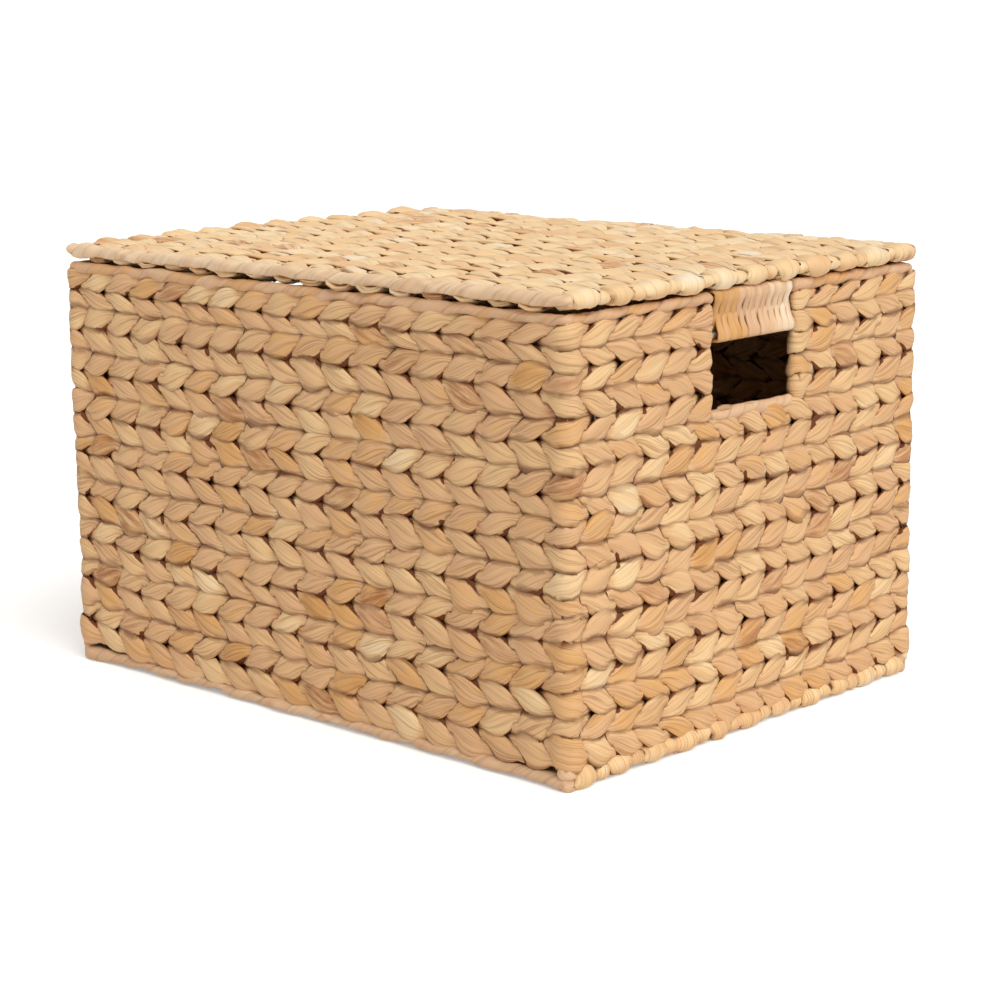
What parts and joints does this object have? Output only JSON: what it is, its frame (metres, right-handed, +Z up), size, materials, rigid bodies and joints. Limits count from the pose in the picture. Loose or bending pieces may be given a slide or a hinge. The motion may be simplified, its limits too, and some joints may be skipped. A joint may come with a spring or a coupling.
{
  "type": "woven lidded box",
  "caption": "Rectangular woven storage box with a flat lid hinged at the back, twined plant-strand walls on a wire frame, a wound rim, and a hand-hole with a wound grip in each end wall.",
  "frame": {"origin": "middle of the underside, on the surface that the box stands on", "axes": "+X along the length towards the right end wall, +Y from the front wall towards the hinged back wall, +Z up"},
  "size_m": [0.428, 0.3277, 0.2733],
  "materials": {
    "hyacinth_strand": "dried water hyacinth strand, twined, matt with a faint sheen along the fibres",
    "hyacinth_lid": "dried water hyacinth strand, twined, paler on the lid, matt",
    "hyacinth_strip": "dried water hyacinth strip, wound tight, satin",
    "steel_wire": "drawn steel wire, galvanised, welded"
  },
  "bodies": {
    "box": {"wire_frame": "steel_wire", "front_weave": "hyacinth_strand", "back_weave": "hyacinth_strand", "right_lower_weave": "hyacinth_strand", "right_front_weave": "hyacinth_strand", "right_back_weave": "hyacinth_strand", "left_lower_weave": "hyacinth_strand", "left_front_weave": "hyacinth_strand", "left_back_weave": "hyacinth_strand", "sill_winding_right": "hyacinth_strip", "sill_winding_left": "hyacinth_strip", "grip_winding_right": "hyacinth_strip", "grip_winding_left": "hyacinth_strip", "rim_winding_right_front": "hyacinth_strip", "rim_winding_right_back": "hyacinth_strip", "rim_winding_left_front": "hyacinth_strip", "rim_winding_left_back": "hyacinth_strip", "rim_winding_front": "hyacinth_strip", "rim_winding_back": "hyacinth_strip", "post_winding_front_left": "hyacinth_strip", "post_winding_front_right": "hyacinth_strip", "post_winding_back_left": "hyacinth_strip", "post_winding_back_right": "hyacinth_strip", "base_winding_front": "hyacinth_strip", "base_winding_back": "hyacinth_strip", "base_weave": "hyacinth_strand"},
    "lid": {"lid_wire_frame": "steel_wire", "lid_weave": "hyacinth_lid", "lid_winding_front": "hyacinth_strip", "lid_winding_back": "hyacinth_strip", "hinge_tie_left": "hyacinth_strip", "hinge_tie_middle": "hyacinth_strip", "hinge_tie_right": "hyacinth_strip"}
  },
  "joints": [
    {"name": "lid_hinge", "type": "hinge", "parent": "box", "child": "lid", "pos_m": [0, 0.1585, 0.2567], "axis": [-1, 0, 0], "range_deg": [0, 105]}
  ]
}
